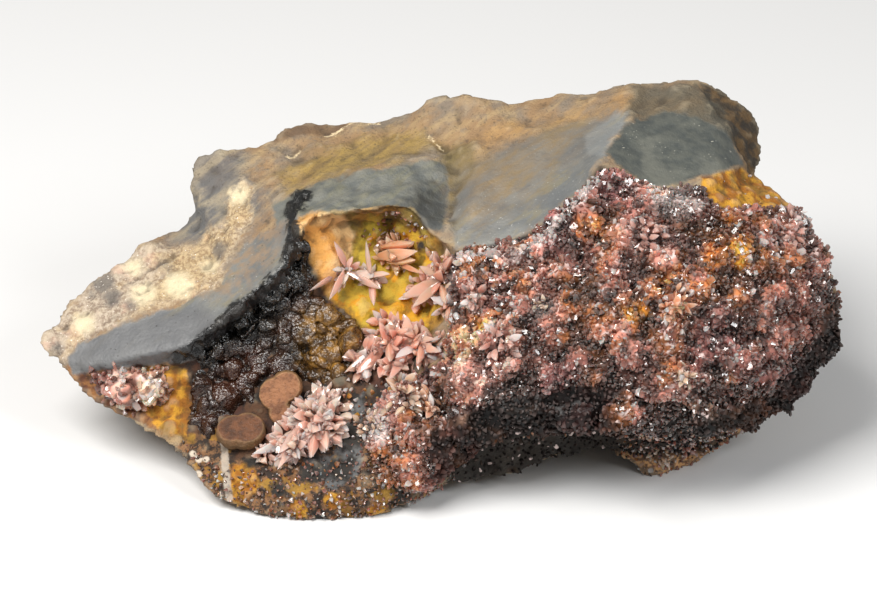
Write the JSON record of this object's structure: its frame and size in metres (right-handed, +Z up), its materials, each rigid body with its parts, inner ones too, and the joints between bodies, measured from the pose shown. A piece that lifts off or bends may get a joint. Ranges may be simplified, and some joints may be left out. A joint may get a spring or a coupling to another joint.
{
  "type": "rhodochrosite specimen",
  "caption": "Hand specimen of rhodochrosite: pink druse and dog-tooth crystals in a hollow of goethite and limonite rock, resting on its own feet.",
  "frame": {"origin": "centre of the footprint, on the surface that the specimen rests on", "axes": "+X along the specimen from the pale tip to the druse, -Y towards the crystal-lined front, +Z up"},
  "size_m": [0.0816, 0.0473, 0.0308],
  "materials": {
    "host_rock": "rough weathered gossan with smooth grey fractures",
    "rhodochrosite_druse": "glassy small crystals, pink to mauve brown",
    "rhodochrosite_crystal": "glassy translucent salmon pink",
    "goethite": "black botryoidal with a metallic sheen",
    "brown_bead": "satin brown broken face with faint bands"
  },
  "bodies": {
    "root": {"matrix_rock": "host_rock", "druse_crust": "rhodochrosite_druse", "druse_patch_left": "rhodochrosite_druse", "goethite_crust": "goethite", "spray_hollow_left": "rhodochrosite_crystal", "spray_hollow_top": "rhodochrosite_crystal", "spray_hollow_right": "rhodochrosite_crystal", "spray_floor": "rhodochrosite_crystal", "spray_lower": "rhodochrosite_crystal", "bead_upper": "brown_bead", "bead_lower": "brown_bead"}
  },
  "joints": []
}
